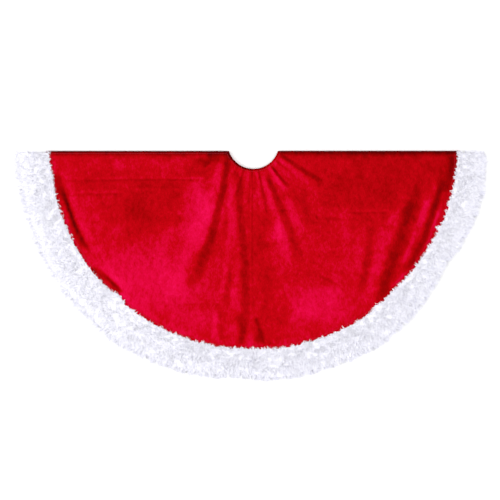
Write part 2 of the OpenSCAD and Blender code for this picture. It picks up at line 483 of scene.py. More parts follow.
# Narrow lines of painted light and shade: painted shadow of the fur beside its inner edge on the left,
# painted shade on the far flanks of folds and in the gather's tucks, and painted highlights on crests and
# along the rim. Shade, half-width and the points of each line.
PAINTED_LIGHT_LINES = [
    ("left_rim", -0.23, 8, [(-509, -56), (-497, -105), (-460, -198), (-432, -254)]),
    ("left_edge", 0.10, 4, [(-486, -178), (-468, -216), (-446, -256)]),
    ("left_rim_low", -0.24, 8, [(-418, -302), (-380, -328), (-342, -366)]),
    ("slit_side", -0.10, 17, [(-102, -190), (-126, -262), (-178, -352)]),
    ("right_crest", 0.13, 6, [(448, -122), (436, -157), (419, -195), (394, -256), (380, -296)]),
    ("rim_edge", 0.13, 5, [(482, -146), (474, -178), (450, -232), (424, -275), (386, -326), (344, -358)]),
    ("middle_crest", 0.07, 5, [(404, -114), (372, -155), (336, -194)]),
    ("right_middle", -0.12, 21, [(424, -122), (396, -205), (374, -268), (352, -330), (320, -392)]),
    ("right_outer", -0.14, 12, [(494, -70), (474, -130), (450, -190), (420, -250), (384, -314)]),
    ("right_rim", -0.14, 9, [(512, -10), (508, -60), (494, -110)]),
    ("gather_left", -0.18, 9, [(-44, -425), (-26, -455), (-34, -500)]),
    ("gather_right", -0.16, 7, [(8, -426), (26, -465), (44, -502)]),
]


def cut_corners(points):
    """A finer line that rounds off the corners of the one given."""
    points = np.array(points, float) * MM
    for _ in range(2):
        first, second = points[:-1], points[1:]
        inner = np.stack([0.75 * first + 0.25 * second, 0.25 * first + 0.75 * second], axis=1)
        points = np.concatenate([points[:1], inner.reshape(-1, 2)[1:-1], points[-1:]])
    return points


def beside(x, y, points, margin):
    """Where points lie by a line: progress along it (0 to 1), and distance on the light's side."""
    line = cut_corners(points)
    low, high = line.min(axis=0) - margin, line.max(axis=0) + margin
    near = (x > low[0]) & (x < high[0]) & (y > low[1]) & (y < high[1])
    px, py = x[near], y[near]
    steps = np.linalg.norm(np.diff(line, axis=0), axis=1)
    starts = np.concatenate([[0], np.cumsum(steps)])
    best, progress, side = (np.full(px.shape, v) for v in (np.inf, 0.0, 1.0))
    for k, step in enumerate(steps):
        (ax, ay), (bx, by) = line[k], line[k + 1]
        dx, dy = (bx - ax) / step, (by - ay) / step
        t = np.clip((px - ax) * dx + (py - ay) * dy, 0, step)
        away = np.hypot(px - ax - t * dx, py - ay - t * dy)
        closer = away < best
        best = np.where(closer, away, best)
        progress = np.where(closer, (starts[k] + t) / starts[-1], progress)
        side = np.where(closer, np.where((px - ax) * dy - (py - ay) * dx > 0, away, -away), side)
    return near, progress, side


def add_fold(h, x, y, height, near_widths, far_widths, points):
    """Adds one soft fold to the heights h."""
    reach = max(*near_widths, *far_widths) * MM
    where, s, side = beside(x, y, points, reach)
    near_w, far_w = (np.interp(s, [0, 1], w) * MM for w in (near_widths, far_widths))
    away = np.where(side > 0, side / near_w, -side / far_w)
    at_hole = math.hypot(*points[0]) < 120
    fade = smooth(s, -0.02, 0.12 if at_hole else 0.36) * (1 - smooth(s, 0.78, 1.0))
    h[where] += height * MM * (1 - smooth(away, 0, 1)) * fade


def add_crease(h, x, y, height, width, points):
    where, s, side = beside(x, y, points, 3 * width * MM)
    fade = smooth(s, 0, 0.06) * (1 - smooth(s, 0.92, 1.0))
    h[where] += height * MM * np.exp(-(side / (width * MM)) ** 2) * fade


def edge_roll(distance, width):
    """From 0 at an edge to 1 at width inside it, round as a quarter of an ellipse."""
    return np.sqrt(np.clip(1 - (1 - np.clip(distance / width, 0, 1)) ** 2, 0, 1))


def hole_distance(x, y):
    return np.hypot(x, y - HOLE_C) - HOLE_R


def rim_distance(x, y):
    """How far inside the fur trim's inner edge a point lies."""
    return TRIM_IN - np.hypot(x, y - TRIM_C)


def wandering(x, y, amount, size, seed):
    return x + amount * crumple(x, y, size, seed), y + amount * crumple(x, y, size, seed + 7)


def upper_cover(x, y):
    """Height of the upper cover's plush over the fold plane."""
    wx, wy = wandering(x, y, 4 * MM, 90 * MM, 11)
    wx, wy = wandering(wx, wy, 1.2 * MM, 22 * MM, 13)
    h = COVER_HEIGHT + 0.9 * MM * crumple(x, y, 120 * MM, 31) + 0.6 * MM * crumple(x, y, 48 * MM, 41)
    for _, height, near, far, points in FOLDS:
        add_fold(h, wx, wy, height, near, far, points)
    for _, height, width, points in CREASES:
        add_crease(h, 0.5 * (x + wx), 0.5 * (y + wy), height, width, points)
    for angle, length, height in RAYS:
        a = math.radians(angle)
        start = (HOLE_R / MM * math.sin(a), HOLE_C / MM - HOLE_R / MM * math.cos(a))
        end = (start[0] + length * math.sin(a), start[1] - length * math.cos(a))
        add_fold(h, wx, wy, height, (7, 13), (7, 12), [start, end])
    gx, gy = x - GATHER[0] * MM, y - GATHER[1] * MM
    h += 4.6 * MM * np.exp(-(gx / (15 * MM)) ** 2 - (gy / (22 * MM)) ** 2)
    for side, width in ((-1, 10), (1, 7)):
        tuck = gx - side * (27 * MM - 0.35 * gy)
        h -= 2.4 * MM * np.exp(-(tuck / (width * MM)) ** 2 - (gy / (40 * MM)) ** 2)
    h += 0.34 * MM * crumple(x, y, 15 * MM, 51) + 0.20 * MM * crumple(x, y, 8 * MM, 61)
    rim = smooth(rim_distance(x, y), 0, RIM_FADE)
    return RIM_HEIGHT + (np.maximum(h, 1.7 * MM) - RIM_HEIGHT) * rim


def painted_light_and_pile_tone(x, y):
    """Shade of the plush, 0 dark to 1 light: the pile's own patches, with painted light and shade in
    patches and lines, and painted shade along the fold line and round the hole.
    """
    wx, wy = wandering(x, y, 26 * MM, 60 * MM, 311)
    wx, wy = wandering(wx, wy, 9 * MM, 18 * MM, 321)
    shade = np.full(x.shape, 0.5)
    # patches of painted light and shade, mixed with the pile's own patches
    for _, amount, radii, centre in PILE_AND_LIGHT_PATCHES:
        away = np.hypot((wx - centre[0] * MM) / (radii[0] * MM), (wy - centre[1] * MM) / (radii[1] * MM))
        shade += amount * (1 - smooth(away, 0.25, 1.25))
    # lines of painted shadow, painted shade and painted highlight
    for _, amount, width, points in PAINTED_LIGHT_LINES:
        add_crease(shade, wx * 0.2 + x * 0.8, wy * 0.2 + y * 0.8, amount / MM, width, points)
    # painted shade along the fold line and round the hole, where the plush rolls down away from the light
    painted_edge_shade = np.exp(-(y / (10 * MM)) ** 2)
    painted_edge_shade = np.maximum(painted_edge_shade, 0.8 * np.exp(-(np.clip(hole_distance(x, y), 0, 1) / (4.5 * MM)) ** 2))
    return np.clip(shade - 0.34 * painted_edge_shade, 0, 1)


def lower_cover(x, y):
    """Depth of the lower cover's plush below the fold plane. It lies on the floor."""
    h = 4.0 * MM + 0.9 * MM * crumple(x, y, 90 * MM, 71) + 0.25 * MM * crumple(x, y, 14 * MM, 81)
    flat = np.ones(np.shape(x))
    for node in LOOP_TABS:
        flat = np.minimum(flat, tab_distance(x, y, node, 4 * MM))
    h = RIM_HEIGHT + (h - RIM_HEIGHT) * flat
    return RIM_HEIGHT + (h - RIM_HEIGHT) * smooth(rim_distance(x, y), 0, RIM_FADE)


LOOP_TABS = ["loop_tab_neck", "loop_tab_middle", "loop_tab_hem"]
HOOK_TABS = ["hook_tab_neck", "hook_tab_middle", "hook_tab_hem"]


def tab_distance(x, y, node, margin):
    """0 over a tab and 1 from margin outside it."""
    low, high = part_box(node)
    away = np.maximum(np.maximum(low[0] - x, x - high[0]), np.maximum(low[1] - y, y - high[1]))
    return smooth(away, 0.5 * MM, margin)


# Creases of the linings, where the skirt was folded up small: height, half-width and points.
LINING_CREASES = [
    (1.0, 4.0, [(-78, -30), (-470, -180)]), (1.2, 3.6, [(-52, -62), (-348, -396)]),
    (0.9, 4.2, [(-18, -70), (-150, -486)]), (1.2, 3.4, [(12, -70), (60, -515)]),
    (1.0, 4.0, [(40, -70), (270, -446)]), (1.1, 3.6, [(74, -44), (448, -262)]),
    (0.9, 5.0, [(-420, -182), (-150, -190), (160, -186), (430, -180)]),
    (0.8, 5.0, [(-350, -350), (-60, -362), (240, -356), (380, -320)]),
]


def lining_wrinkles(x, y, seed):
    wx, wy = wandering(x, y, 5 * MM, 70 * MM, seed)
    h = 0.9 * MM + 0.42 * MM * crumple(x, y, 52 * MM, seed + 20)
    h += 0.26 * MM * crumple(x, y, 20 * MM, seed + 30) + 0.10 * MM * crumple(x, y, 9 * MM, seed + 40)
    for height, width, points in LINING_CREASES:
        add_crease(h, wx, wy, height, width, points)
    return np.maximum(h, 0.3 * MM)


def upper_lining(x, y):
    """Height of the upper lining over the fold plane. It is pressed in round the hook tabs."""
    h = np.minimum(lining_wrinkles(x, y, 500), 0.8 * upper_cover(x, y) - 0.2 * MM)
    for node in HOOK_TABS:
        h = h + (1.5 * MM - h) * (1 - tab_distance(x, y, node, 4 * MM))
    return h


def lower_lining(x, y):
    """Depth of the lower lining below the fold plane. It is flat under the label."""
    h = np.minimum(lining_wrinkles(x, y, 600), 0.8 * lower_cover(x, y) - 0.2 * MM)
    return h + (0.75 * MM - h) * (1 - tab_distance(x, y, "care_label", 6 * MM))


def spread(count, edges):
    """Even steps from 0 to 1, with extra fine ones at both ends."""
    inner = np.linspace(edges[-1], 1 - edges[-1], count)[1:-1]
    return np.concatenate([edges, inner, 1 - np.array(edges)[::-1]])


def half_points(u, t, hole_r, rim_r, rim_c):
    """Points of a half ring: u from the slit (0) round to the fold (1), t from the hole to the rim."""
    hole_a = math.pi + math.asin(HOLE_C / hole_r) + u * (math.pi - 2 * math.asin(HOLE_C / hole_r))
    rim_a = math.pi + math.asin(rim_c / rim_r) + u * (math.pi - 2 * math.asin(rim_c / rim_r))
    hole = np.stack([hole_r * np.cos(hole_a), HOLE_C + hole_r * np.sin(hole_a)], axis=-1)
    rim = np.stack([rim_r * np.cos(rim_a), rim_c + rim_r * np.sin(rim_a)], axis=-1)
    grid = hole[:, None] + (rim - hole)[:, None] * t[None, :, None]
    return grid[..., 0], grid[..., 1]


def folded_cloth(name, u_upper, u_lower, t, upper, lower, edge_d, hem, roll_out, inset):
    """One cloth that lies in both halves and runs round the fold.

    edge_d is its distance from the fold plane at the slit and the hole, and hem the (outwards,
    distance) steps by which those edges roll under. roll_out is how far it bulges at the fold.
    """
    fold_d = min(edge_d * 1.4, FOLD_HEIGHT)

    def layer(u, height):
        x, y = half_points(u, t, HOLE_R + inset, COVER_R - inset, COVER_C)
        y = np.minimum(y, np.where(x < 0, -inset, 0.0))
        line_h = np.where(x < 0, edge_d, fold_d)
        roll = edge_roll(-y - np.where(x < 0, inset, 0), EDGE_ROLL)
        roll = roll * edge_roll(hole_distance(x, y) - inset, 0.6 * EDGE_ROLL)
        return x, y, line_h + (height(x, y) - line_h) * roll

    def with_hole_hem(x, y, d):
        edge_x, edge_y = x[:, 0].copy(), y[:, 0].copy()
        reach = np.hypot(edge_x, HOLE_C - edge_y)
        for out, edge in hem:
            x = np.concatenate([(edge_x * (1 - out / reach))[:, None], x], axis=1)
            y = np.concatenate([(edge_y + (HOLE_C - edge_y) * out / reach)[:, None], y], axis=1)
            d = np.concatenate([np.full((len(d), 1), edge), d], axis=1)
        return x, np.minimum(y, 0), d

    def with_slit_hem(x, y, d):
        edge_x, edge_y, edge_z = x[0].copy(), y[0].copy(), d[0].copy()
        for out, edge in hem:
            x = np.concatenate([edge_x[None], x])
            y = np.concatenate([(edge_y + out)[None], y])
            d = np.concatenate([np.minimum(edge_z, edge)[None], d])
        return x, y, d

    parts = []
    for u, height in ((u_upper, upper), (u_lower, lower)):
        parts.append(with_slit_hem(*with_hole_hem(*layer(u, height))))
    (ux, uy, ud), (lx, ly, ld) = parts
    turn = np.linspace(90, -90, 13)[1:-1]
    columns_x, columns_y, columns_z = [ux], [uy], [ud]
    for degrees in turn:
        s, c = math.sin(math.radians(degrees)), math.cos(math.radians(degrees))
        end_d = ud if s >= 0 else ld
        columns_x.append(ux[-1:])
        columns_y.append(uy[-1:] + roll_out * c)
        columns_z.append(end_d[-1:] * s)
    columns_x.append(lx[::-1])
    columns_y.append(ly[::-1])
    columns_z.append(-ld[::-1])
    x, y, z = (np.concatenate(c) for c in (columns_x, columns_y, columns_z))
    upper_part = np.arange(len(x)) < len(ux) + len(turn) // 2
    uv = np.stack([x, np.where(upper_part[:, None], y, -y)], axis=-1).reshape(-1, 2)
    points = np.stack([x, y, FOLD_Z + z], axis=-1).reshape(-1, 3)
    obj = make_mesh(name, points, grid_faces(*x.shape), uv)
    middle = obj.data.polygons[len(obj.data.polygons) // 4]
    if middle.normal.z < 0:
        obj.data.flip_normals()
    return obj


RIM_LENGTH = 1650  # millimetres round a half from the slit to the fold, about
RING_WIDTH = 0.47  # metres from the hole to the rim, about
FINE_EDGES = np.array([0, 0.4, 1.0, 1.9, 3.2, 5.0, 7.5]) / RIM_LENGTH
COARSE_EDGES = np.array([0, 1.0, 3.0, 6.0]) / RIM_LENGTH


def ring_rows(fine, start, count):
    """Shares of the way from the hole to the rim: fine steps, then even ones (both in millimetres)."""
    even = np.linspace(start * MM / RING_WIDTH, 1, count)
    return np.concatenate([np.array(fine) * MM / RING_WIDTH, even])


def make_cover():
    t = ring_rows([0, 0.4, 1.0, 2.0, 3.4, 5.2], 7.5, 158)
    cover = folded_cloth(
        "plush_cover", spread(450, FINE_EDGES), spread(90, COARSE_EDGES), t,
        upper_cover, lower_cover, SLIT_HEIGHT, [(0.7 * MM, 1.5 * MM), (0.2 * MM, 1.05 * MM)],
        1.2 * MM, 0.0)
    cover.data.materials.append(PLUSH)
    co = np.array([v.co for v in cover.data.vertices])
    brush = cover.data.attributes.new("brush", "FLOAT", "POINT")
    # painted light and shade by slope: where the cover turns towards the key light its colour is made
    # lighter, where it turns away darker
    normal = np.array([v.normal for v in cover.data.vertices])
    painted_slope_light = normal @ PAINTED_LIGHT_SIDE * np.sign(normal[:, 2])
    painted_slope_light = np.where(painted_slope_light > 0, 0.5 * painted_slope_light, painted_slope_light)
    brush.data.foreach_set("value", np.clip(painted_light_and_pile_tone(co[:, 0], co[:, 1]) + painted_slope_light, 0, 1))
    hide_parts("front_cover", "back_cover")
    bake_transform(cover)
    return cover


def make_lining():
    t = ring_rows([0, 1.0, 2.5, 5.0], 8, 128)
    u = spread(210, COARSE_EDGES)
    lining = folded_cloth(
        "lining_cloth", u, u, t, upper_lining, lower_lining,
        0.5 * MM, [(0.1 * MM, 0.9 * MM), (0.15 * MM, 1.3 * MM)], 0.3 * MM, 0.7 * MM)
    lining.data.flip_normals()
    lining.data.materials.append(LINING)
    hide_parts("front_lining", "back_lining")
    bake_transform(lining)
    return lining


# ---------------------------------------------------------------------------------------------
# The fur trim. A sweep angle runs from 0 at the fold's end of the rim to 180 at the slit's end.


def bell(angle, centre, width):
    return np.exp(-((angle - centre) / width) ** 2)


def sweep_of(x, y, centre_x, centre_y):
    return np.degrees(np.arctan2(centre_y - y, x - centre_x))


def inner_reach(a):
    """Radius of the fur's inner edge about the trim's centre: it wanders in and out over the plush."""
    wander = (6 + 8 * bell(a, 7, 10) - 7 * bell(a, 34, 8) - 9 * bell(a, 46, 6) + 7 * bell(a, 64, 7)
              + 4 * bell(a, 73, 5) - 5 * bell(a, 90, 7) + 9 * bell(a, 118, 8) - 10 * bell(a, 132, 3.2)
              + 7 * bell(a, 145, 8) - 4 * bell(a, 170, 5) - 5 * bell(a, 180, 2.2))
    for tuft in (16.4, 23.9, 52.7, 63.4):
        wander = wander - 9 * bell(a, tuft, 0.8)
    return TRIM_IN + wander * MM


def trim_edge(a):
    """Radius of the trim's inner edge, which always covers the row of stitches under it."""
    return np.minimum(inner_reach(a), TRIM_IN + LAP / 3)


def outer_reach(a):
    """Radius that the fur's tips reach, about a centre moved by FUR_SHIFT."""
    wander = (5 + 6 * bell(a, 12, 5) + 8 * bell(a, 26.4, 1.2) - 17 * bell(a, 31, 7) - 4 * bell(a, 38, 4)
              + 8 * bell(a, 56, 8) + 3 * bell(a, 69, 5) + 5 * bell(a, 84, 5) - 9 * bell(a, 92, 6)
              + 5 * bell(a, 112, 8) + 11 * bell(a, 126, 9) + 7 * bell(a, 145, 9) + 4 * bell(a, 179, 4))
    return TRIM_R + wander * MM


def trim_point(a, r, shift):
    """Point at sweep angle a and radius r; shift is how far the centre moves along X."""
    angle = np.radians(a)
    return shift + r * np.cos(angle), TRIM_C - r * np.sin(angle)


def across_trim(a, across, inner):
    """Point of the trim at a sweep angle, across it from the radius inner (0) to its tips (1)."""
    ix, iy = trim_point(a, inner, 0.0)
    ox, oy = trim_point(a, outer_reach(a), FUR_SHIFT)
    return ix + (ox - ix) * across, iy + (oy - iy) * across


def sweep_ends(side, across, margin):
    """Sweep angles of a length of trim: where it comes within margin of the fold line, and its middle."""
    radius = TRIM_IN + (TRIM_R - TRIM_IN) * np.asarray(across, float)
    end = np.degrees(np.arcsin((TRIM_C + margin) / radius))
    return (end if side == "right" else 180 - end), 90.0


# Section of the trim's cloth: share of the way across, distance from the fold plane, and whether
# it shows pile (1) or the knitted backing (0).
SECTION = [(0.00, 3.3, 1), (0.00, 4.3, 1), (0.03, 5.4, 1), (0.08, 6.1, 1), (0.16, 6.6, 1),
           (0.25, 6.9, 1), (0.34, 7.0, 1), (0.43, 7.0, 1), (0.52, 6.9, 1), (0.60, 6.6, 1),
           (0.67, 6.1, 1), (0.73, 5.4, 1), (0.78, 4.4, 1), (0.81, 3.2, 1), (0.82, 2.0, 1),
           (0.81, 0.9, 1), (0.78, 0.5, 0), (0.68, 0.45, 0), (0.55, 0.45, 0), (0.42, 0.45, 0),
           (0.30, 0.5, 0), (0.20, 0.6, 0), (0.155, 0.9, 0), (0.15, 2.6, 0), (0.08, 2.9, 0)]


STEP_SHARE = 0.155  # where the backing steps down beside the cover's rim


def beside_rim(a, share):
    """How far the backing's step has to move across the trim, to stay just outside the cover's rim."""
    inner = trim_edge(a)
    ox, oy = trim_point(a, outer_reach(a), FUR_SHIFT)
    step = (COVER_R + 1.3 * MM - inner) / (np.hypot(ox, oy - TRIM_C) - inner) - STEP_SHARE
    return step * np.interp(share, [0.08, 0.15, 0.155, 0.30, 0.55], [0.5, 1, 1, 0.6, 0])


def make_band(half, side):
    """The trim's knitted backing with its dense short wool, as one closed strip."""
    share, depth, pile = (np.array(c, float)[None, :] for c in zip(*SECTION))
    start, end = sweep_ends(side, share, 4 * MM)
    a = start + (end - start) * np.linspace(0, 1, 300)[:, None]
    share = share + (1 - pile) * beside_rim(a, share)
    x, y = across_trim(a, share, trim_edge(a))
    lump = crumple(x, y, 16 * MM, 201) + 0.6 * crumple(x, y, 7 * MM, 211)
    top = pile * smooth(depth, 3.2, 6.0)
    d = depth * MM + (0.6 * MM * lump + 0.3 * MM) * top
    if half == "back":
        d = np.minimum(d * 0.74, FOLD_Z - 0.8 * MM)
    z = FOLD_Z + d if half == "front" else FOLD_Z - d
    rows = share.shape[1]
    points = np.stack(np.broadcast_arrays(x, y, z), axis=-1).reshape(-1, 3)
    faces = grid_faces(len(a), rows, closed=True)
    row = np.tile(np.arange(rows), len(a) - 1)
    shows_backing = (pile[0][row] == 0).astype(int)
    strip = make_mesh(f"{half}_band_{side}", points, faces, points[:, :2], slots=shows_backing)
    close_ends(strip, rows, len(a))
    strip.data.materials.append(FLEECE)
    strip.data.materials.append(BACKING)
    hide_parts(f"{half}_trim_{side}")
    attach(strip, f"{half}_half")
    return strip


def close_ends(obj, rows, columns):
    """Caps the two ends of a closed strip, and makes its faces look outwards."""
    import bmesh
    work = bmesh.new()
    work.from_mesh(obj.data)
    work.verts.ensure_lookup_table()
    for column in (0, columns - 1):
        work.faces.new([work.verts[column * rows + r] for r in range(rows)])
    bmesh.ops.recalc_face_normals(work, faces=work.faces)
    work.to_mesh(obj.data)
    work.free()


SEGMENTS = 4
RIBBON_TAPER = np.array([1.0, 1.0, 0.85, 0.6])
FUR_TOP = 14.5 * MM  # how far the strands may stand off the fold plane
FOLD_REACH = {"front_left": 3.4 * MM, "front_right": 2.0 * MM}  # past the fold line; others stay short


def lay_clumps(side, seed, spacing, rng):
    """How far across the trim each clump is, its root, its tip and its length."""
    area = math.pi / 4 * (TRIM_R ** 2 - TRIM_IN ** 2)
    clumps = int(area / spacing ** 2)
    across = rng.uniform(0, 1, clumps) ** 0.95
    across[::12] *= 0.05  # some line the inner edge
    root_share = 0.015 + 0.80 * across
    start, end = sweep_ends(side, root_share, 1.5 * MM)
    a = start + (end - start) * rng.uniform(0, 1, clumps)
    rx, ry = across_trim(a, root_share, trim_edge(a))
    crown = np.sqrt(np.clip(np.minimum(across / 0.25, (1 - across) / 0.3), 0, 1))
    root_d = (3.6 + 3.0 * crown) * MM

    outward = np.interp(across, [0, 0.1, 0.28, 0.6, 1], [-0.75, -0.35, 0.15, 0.7, 1.15])
    combed = np.clip((inner_reach(a) - trim_edge(a)) / (9 * MM), 0, 1)  # outward, off the plush
    outward = outward + 0.32 * combed * (1 - smooth(across, 0.0, 0.3)) + rng.normal(0, 0.30, clumps)
    sideways = rng.normal(0, 0.42, clumps) + 0.22 * crumple(rx, ry, 60 * MM, seed + 5)
    angle = np.radians(a)
    dx = outward * np.cos(angle) - sideways * np.sin(angle)
    dy = -outward * np.sin(angle) - sideways * np.cos(angle)
    size = np.maximum(np.hypot(dx, dy), 0.2)
    by_place = np.interp(across, [0, 0.12, 0.75, 1], [0.62, 0.9, 1.0, 1.45])
    length = rng.uniform(11, 21, clumps) * MM * by_place
    flat = np.minimum(size, 1.0) * length * 0.86
    tip_x, tip_y = rx + dx / size * flat, ry + dy / size * flat
    rise = rng.uniform(1.5, 6.0, clumps) * MM * (1 - np.minimum(size, 1.0) * 0.35)
    tip_d = root_d + rise - np.interp(across, [0.7, 1], [0, 7.5]) * MM
    tip_d = tip_d - np.interp(across, [0, 0.1], [2.2, 0]) * MM
    return across, np.stack([rx, ry, root_d]), np.stack([tip_x, tip_y, tip_d]), length


def strand_paths(side, clump_root, clump_tip, length, own, spacing, rng):
    """The strands' curves. Those of a clump start apart and come together at its tip."""
    n, clumps = len(own), len(length)
    jitter = rng.normal(0, 1, (n, 6))
    rx, ry, root_d = clump_root
    root = np.stack([rx[own] + jitter[:, 0] * spacing * 0.55, ry[own] + jitter[:, 1] * spacing * 0.55,
                     root_d[own] - 1.2 * MM], axis=-1)
    stretch = rng.uniform(0.72, 1.08, n)
    tip = clump_tip[:, own].T.copy()
    tip[:, :2] = root[:, :2] + (tip[:, :2] - root[:, :2]) * stretch[:, None]
    tip[:, 0] += jitter[:, 2] * spacing * 0.30
    tip[:, 1] += jitter[:, 3] * spacing * 0.30
    tip[:, 2] += jitter[:, 4] * 0.9 * MM
    middle = 0.5 * (root + tip)
    middle[:, 2] = np.maximum(root[:, 2], tip[:, 2]) + length[own] * (0.16 + 0.05 * jitter[:, 5])

    tip = keep_in_reach(tip, side, rng.normal(0, 2.1 * MM, clumps)[own], rng)
    s = np.linspace(0, 1, SEGMENTS + 1)[None, :, None]
    path = (1 - s) ** 2 * root[:, None] + 2 * s * (1 - s) * middle[:, None] + s ** 2 * tip[:, None]
    phase = rng.uniform(0, 2 * math.pi, clumps)[own]
    curl = 0.9 * MM * np.sin(phase[:, None] + s[..., 0] * 5.0) * s[..., 0]
    heading = tip[:, :2] - root[:, :2]
    heading /= np.maximum(np.linalg.norm(heading, axis=1, keepdims=True), 1e-6)
    path[..., 0] -= heading[:, 1, None] * curl
    path[..., 1] += heading[:, 0, None] * curl
    return path


def put_in_place(path, half, side):
    """Keeps the strands off the fold line and the floor, and turns their depths into heights."""
    path[..., 1] = soft_limit(path[..., 1], FOLD_REACH.get(f"{half}_{side}", -0.4 * MM))
    path[..., 2] = np.minimum(path[..., 2], FUR_TOP - 2 * MM + 2 * MM * np.tanh(
        (path[..., 2] - FUR_TOP + 2 * MM) / (2 * MM)))
    if half == "front":
        path[..., 2] = np.maximum(FOLD_Z + path[..., 2], 1.0 * MM)
    else:
        room = FOLD_Z - 0.5 * MM
        path[..., 2] = FOLD_Z - room * np.tanh(path[..., 2] / room)
    return path


def ribbons(path, width, rng):
    """Points and triangles of a tapered ribbon along each path."""
    n = len(path)
    tangent = np.gradient(path, axis=1)
    lean = rng.normal(0, 0.45, (n, 1, 3)) + np.array([0, 0, 1.0])
    across_dir = np.cross(tangent, lean)
    across_dir /= np.maximum(np.linalg.norm(across_dir, axis=-1, keepdims=True), 1e-9)
    taper = RIBBON_TAPER[None, :, None] * width / 2 * rng.uniform(0.7, 1.25, (n, 1, 1))
    left = path[:, :-1] - across_dir[:, :-1] * taper
    right = path[:, :-1] + across_dir[:, :-1] * taper
    sides = np.stack([left, right], axis=2).reshape(n, 2 * SEGMENTS, 3)
    triangles = []
    for k in range(SEGMENTS - 1):
        triangles += [(2 * k, 2 * k + 1, 2 * k + 3), (2 * k, 2 * k + 3, 2 * k + 2)]
    triangles.append((2 * SEGMENTS - 2, 2 * SEGMENTS - 1, 2 * SEGMENTS))
    return np.concatenate([sides, path[:, -1:]], axis=1), copies(triangles, n, 2 * SEGMENTS + 1)


def strand_uv(across, own, rng):
    """u is a strand's tone, darker at the outer edge as painted shade where the strands droop towards the
    floor, and darker on a few clumps; v runs root to tip.
    """
    clumps, n = len(across), len(own)
    # the darker tone at the outer edge is painted shade
    tone = 0.3 + 0.62 * rng.beta(2.5, 1.1, clumps) - 0.4 * smooth(across, 0.85, 0.97)
    tone = np.where(rng.uniform(0, 1, clumps) < 0.035, 0.02, tone)
    tone = np.clip(tone[own] + rng.normal(0, 0.15, n), 0.02, 0.98)
    up = np.append(np.repeat(np.linspace(0, 1, SEGMENTS + 1)[:-1], 2), 1.0)
    u, v = np.broadcast_arrays(tone[:, None], 0.02 + 0.96 * up[None, :])
    return np.stack([u, v], axis=-1).reshape(-1, 2)


def make_fur(half, side, seed, spacing, per_clump, width):
    """Long strands, gathered into clumps that lean out over the rim, or in over the plush."""
    rng = np.random.default_rng(seed)
    across, root, tip, length = lay_clumps(side, seed, spacing, rng)
    own = np.repeat(np.arange(len(length)), per_clump)
    path = put_in_place(strand_paths(side, root, tip, length, own, spacing, rng), half, side)
    ribbon, faces = ribbons(path, width, rng)
    uv = strand_uv(across, own, rng)
    outward = np.array([0, 0, 1.0 if half == "front" else -1.0])
    fur = make_mesh(f"{half}_fur_{side}", ribbon.reshape(-1, 3), facing(ribbon, faces, outward), uv)
    soften(fur, ribbon, outward, rng)
    fur.data.uv_layers["cloth"].name = "OFBake"
    fur.data.materials.append(HAIR)
    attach(fur, f"{half}_half")
    return fur


def facing(points, faces, outward):
    """The same triangles, each turned so that it looks outward."""
    a, b, c = (points.reshape(-1, 3)[faces[:, k]] for k in range(3))
    away = np.cross(b - a, c - a) @ outward < 0
    return np.where(away[:, None], faces[:, ::-1], faces)


def soften(fur, strands, outward, rng):
    """Turns the strands' shading towards the pile's own face, as light spreads inside real fur."""
    lean = strands[:, -1] - strands[:, 0]
    lean /= np.maximum(np.linalg.norm(lean, axis=1, keepdims=True), 1e-9)
    normal = outward + 0.03 * lean + rng.normal(0, 0.08, lean.shape)
    normal /= np.linalg.norm(normal, axis=1, keepdims=True)
    fur.data.normals_split_custom_set_from_vertices(np.repeat(normal, strands.shape[1], axis=0))


def soft_limit(y, limit):
    """Pushes back what reaches past limit, without a hard edge."""
    room = 3 * MM
    over = y - (limit - room)
    return np.where(over > 0, limit - room + room * np.tanh(over / room), y)


def keep_in_reach(tip, side, tuft, rng):
    """Pulls tips back to the fur's outline, which is uneven, and rounded at the slit's end."""
    a = sweep_of(tip[:, 0], tip[:, 1], FUR_SHIFT, TRIM_C)
    r = np.hypot(tip[:, 0] - FUR_SHIFT, tip[:, 1] - TRIM_C)
    limit = outer_reach(a)
    if side == "left":
        limit = limit - 16 * MM * np.clip((a - 175.5) / 4.5, 0, 1.2) ** 2
    else:
        limit = limit - 22 * MM * np.clip((4.2 - a) / 3, 0, 1) ** 1.4
    along = np.radians(a) * TRIM_R
    limit = limit + 3.2 * MM * value_noise(along, 0 * along, 27 * MM, 401)
    limit = limit + 1.6 * MM * value_noise(along, 0 * along, 9 * MM, 402)
    limit = limit + tuft - np.abs(rng.normal(0, 1.8 * MM, len(tip)))
    pull = np.minimum(limit / r, 1)
    tip[:, 0] = FUR_SHIFT + (tip[:, 0] - FUR_SHIFT) * pull
    tip[:, 1] = TRIM_C + (tip[:, 1] - TRIM_C) * pull
    return tip


# ---------------------------------------------------------------------------------------------
# Stitches


def stitches(name, x, y, z, direction, length, width, height):
    """A row of separate stitches, each a small rounded bead, at the points given."""
    rings, sides = 5, 6
    s = np.linspace(-1, 1, rings)
    swell = np.sqrt(np.clip(1 - np.abs(s) ** 2.5, 0.05, 1))
    around = np.linspace(0, 2 * math.pi, sides, endpoint=False)
    bx = np.repeat(s * length / 2, sides)
    by = (swell[:, None] * np.cos(around)[None]).ravel() * width / 2
    bz = (swell[:, None] * np.sin(around)[None]).ravel() * height / 2
    c, sn = np.cos(direction)[:, None], np.sin(direction)[:, None]
    points = np.stack([x[:, None] + c * bx - sn * by, y[:, None] + sn * bx + c * by,
                       z[:, None] + 0 * c + bz], axis=-1)
    quads = [(i * sides + j, i * sides + (j + 1) % sides, (i + 1) * sides + (j + 1) % sides,
              (i + 1) * sides + j) for i in range(rings - 1) for j in range(sides)]
    caps = [(0, 5, 4, 3), (0, 3, 2, 1), (24, 25, 26, 27), (24, 27, 28, 29)]
    faces = copies(quads + caps, len(x), rings * sides)
    points = points.reshape(-1, 3)
    obj = make_mesh(name, points, faces, points[:, :2])
    obj.data.materials.append(THREAD)
    return obj


PITCH = 4.2 * MM
STITCH = (3.3 * MM, 0.9 * MM, 0.6 * MM)


